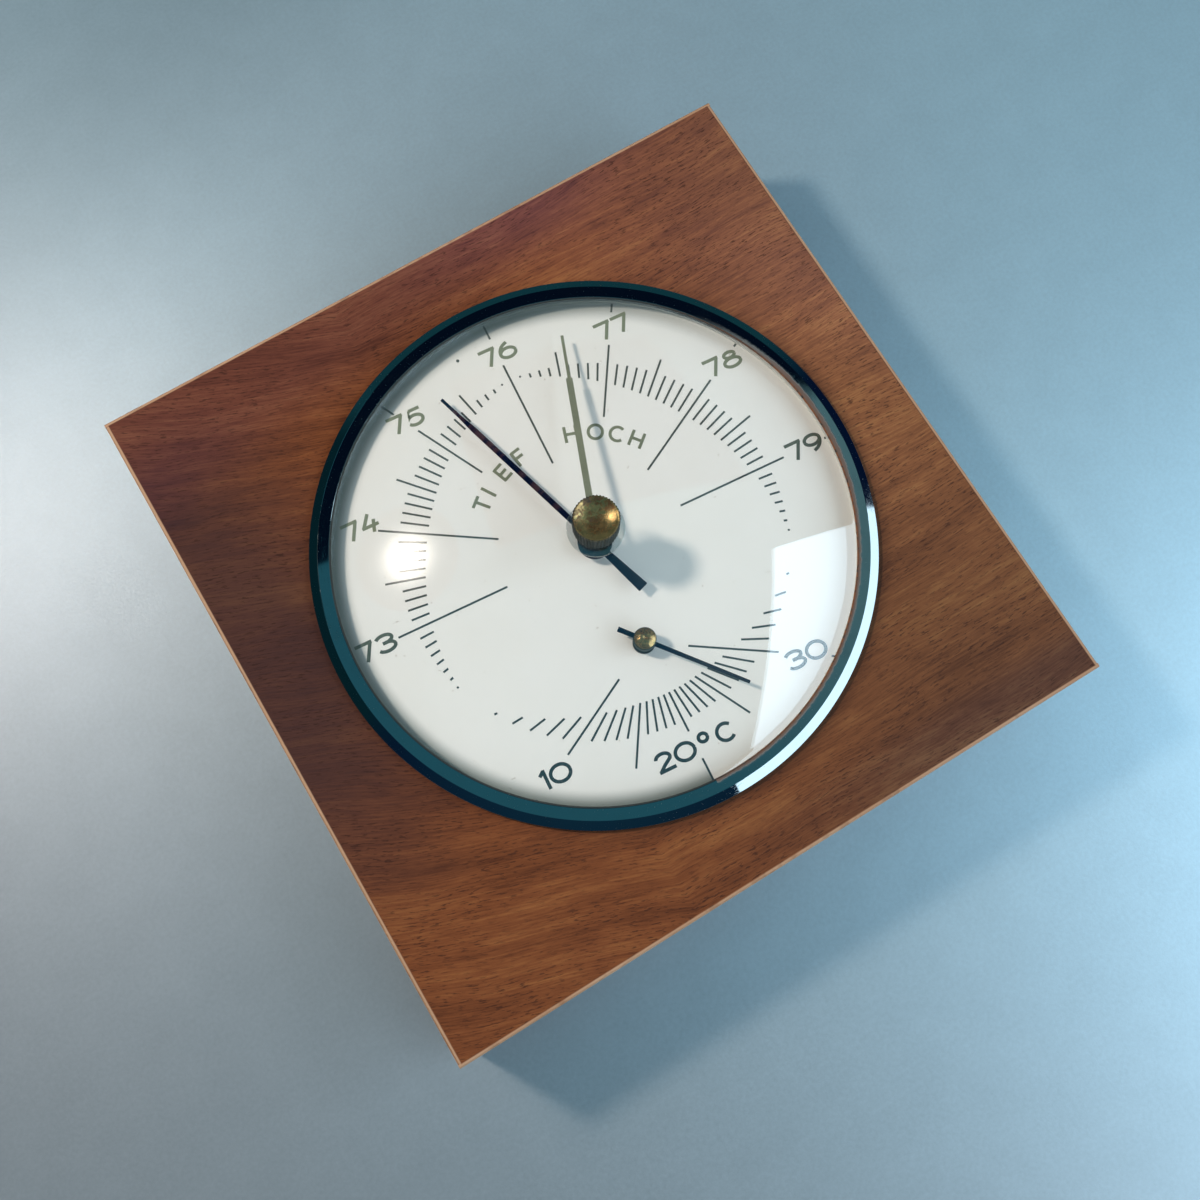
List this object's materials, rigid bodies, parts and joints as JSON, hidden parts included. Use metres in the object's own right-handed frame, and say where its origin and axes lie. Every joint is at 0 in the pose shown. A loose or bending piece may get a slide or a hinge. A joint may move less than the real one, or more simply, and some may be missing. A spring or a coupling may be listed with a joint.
{
  "type": "weather station",
  "caption": "Square wood-veneered aneroid barometer with a bimetal thermometer, a ring bezel, a domed glass and a set hand turned by a brass knob.",
  "frame": {"origin": "middle of the block's flat back, on the surface that it lies on", "axes": "+Z out of the dial, +Y towards the top edge of the block, +X towards its right edge, seen from the front"},
  "size_m": [0.14, 0.14, 0.0495],
  "materials": {
    "core_wood": "raw particle board",
    "veneer": "oiled open-pored veneer",
    "edge_wood": "oiled edge strip",
    "zinc_steel": "zinc plated sheet",
    "bezel_plating": "mirror polished plating",
    "glass": "clear domed glass",
    "seal": "aged putty",
    "dial_white": "matt lacquer",
    "clear_plastic": "clear turned plastic",
    "brass": "polished, tarnished",
    "set_hand_brass": "satin",
    "movement_brass": "rolled brass",
    "blued_steel": "blued and lacquered",
    "capsule_metal": "nickel silver",
    "spring_steel": "polished spring steel",
    "dark_bush": "blackened",
    "bimetal": "bimetal strip"
  },
  "bodies": {
    "case": {"core_block": "core_wood", "front_veneer": "veneer", "edge_strips": "edge_wood", "hanger_plate": "zinc_steel", "hanger_screws": "zinc_steel", "case_can": "zinc_steel", "can_clips": "zinc_steel", "clip_screws": "brass", "bezel_ring": "bezel_plating", "domed_glass": "glass", "glass_seal": "seal", "spacer_ring": "dial_white", "dial_plate": "dial_white", "dial_feet": "brass", "glass_bush": "clear_plastic", "base_plate": "movement_brass", "base_screws": "blued_steel", "frame_pillars": "movement_brass", "top_plate": "movement_brass", "top_screws": "blued_steel", "arbor_cock": "movement_brass", "hairspring_stud": "movement_brass", "capsule_foot": "movement_brass", "capsule_lower": "capsule_metal", "spring_stand": "movement_brass", "clamp_plate": "movement_brass", "clamp_screws": "blued_steel", "rocker_bracket": "movement_brass", "thermometer_plate": "movement_brass", "thermometer_pillars": "movement_brass", "thermometer_bush": "dark_bush", "bimetal_stud": "movement_brass"},
    "setter": {"set_knob": "brass", "set_spindle": "brass", "set_hand": "set_hand_brass"},
    "pointer": {"hand_arbor": "spring_steel", "chain_drum": "movement_brass", "chain_wrap": "spring_steel", "hairspring": "blued_steel", "pressure_hand": "blued_steel"},
    "rocker": {"rocking_shaft": "spring_steel"},
    "chain": {"drive_chain": "spring_steel"},
    "lever": {"leaf_spring": "spring_steel", "main_lever": "movement_brass", "lever_link": "movement_brass"},
    "capsule": {"capsule_upper": "capsule_metal", "capsule_post": "movement_brass"},
    "thermometer": {"thermometer_arbor": "spring_steel", "bimetal_spiral": "bimetal", "thermometer_hand": "blued_steel", "thermometer_cap": "brass"},
    "adjuster": {"adjusting_screw": "blued_steel"}
  },
  "joints": [
    {"name": "set_hand_turn", "type": "hinge", "parent": "case", "child": "setter", "pos_m": [0, 0, 0.04], "axis": [0, 0, -1], "continuous": true},
    {"name": "pressure_hand_turn", "type": "hinge", "parent": "case", "child": "pointer", "pos_m": [0, 0, 0.03], "axis": [0, 0, -1], "range_deg": [-91, 131], "deforming": ["hairspring", "chain_wrap"]},
    {"name": "rocking_shaft_turn", "type": "hinge", "parent": "case", "child": "rocker", "pos_m": [0.02739, -0.0024, 0.009], "axis": [-0.0872, -0.9962, 0], "range_deg": [-9.2, 13.2]},
    {"name": "chain_slide", "type": "slide", "parent": "case", "child": "chain", "axis": [-0.9962, 0.0872, 0], "range_m": [-0.0026, 0.0037]},
    {"name": "lever_turn", "type": "hinge", "parent": "case", "child": "lever", "pos_m": [-0.02555, 0.00625, 0.0158], "axis": [0.0872, 0.9962, 0], "range_deg": [-0.65, 0.93], "deforming": ["leaf_spring"]},
    {"name": "capsule_stroke", "type": "slide", "parent": "case", "child": "capsule", "axis": [0, 0, -1], "range_m": [-0.0003, 0.00043], "deforming": ["capsule_upper"]},
    {"name": "thermometer_hand_turn", "type": "hinge", "parent": "case", "child": "thermometer", "pos_m": [-0.00186, -0.02122, 0.03], "axis": [0, 0, 1], "range_deg": [-131.8, 48.2], "deforming": ["bimetal_spiral"]},
    {"name": "adjusting_screw_turn", "type": "hinge", "parent": "case", "child": "adjuster", "pos_m": [-0.02804, 0.00647, 0.003], "axis": [0, 0, 1], "range_deg": [-180, 180]}
  ],
  "couplings": [
    {"joint": "rocking_shaft_turn", "follows": "pressure_hand_turn", "ratio": 0.1},
    {"joint": "chain_slide", "follows": "pressure_hand_turn", "m_per_rad": 0.0016},
    {"joint": "lever_turn", "follows": "pressure_hand_turn", "ratio": 0.007},
    {"joint": "capsule_stroke", "follows": "pressure_hand_turn", "m_per_rad": 0.000182}
  ]
}
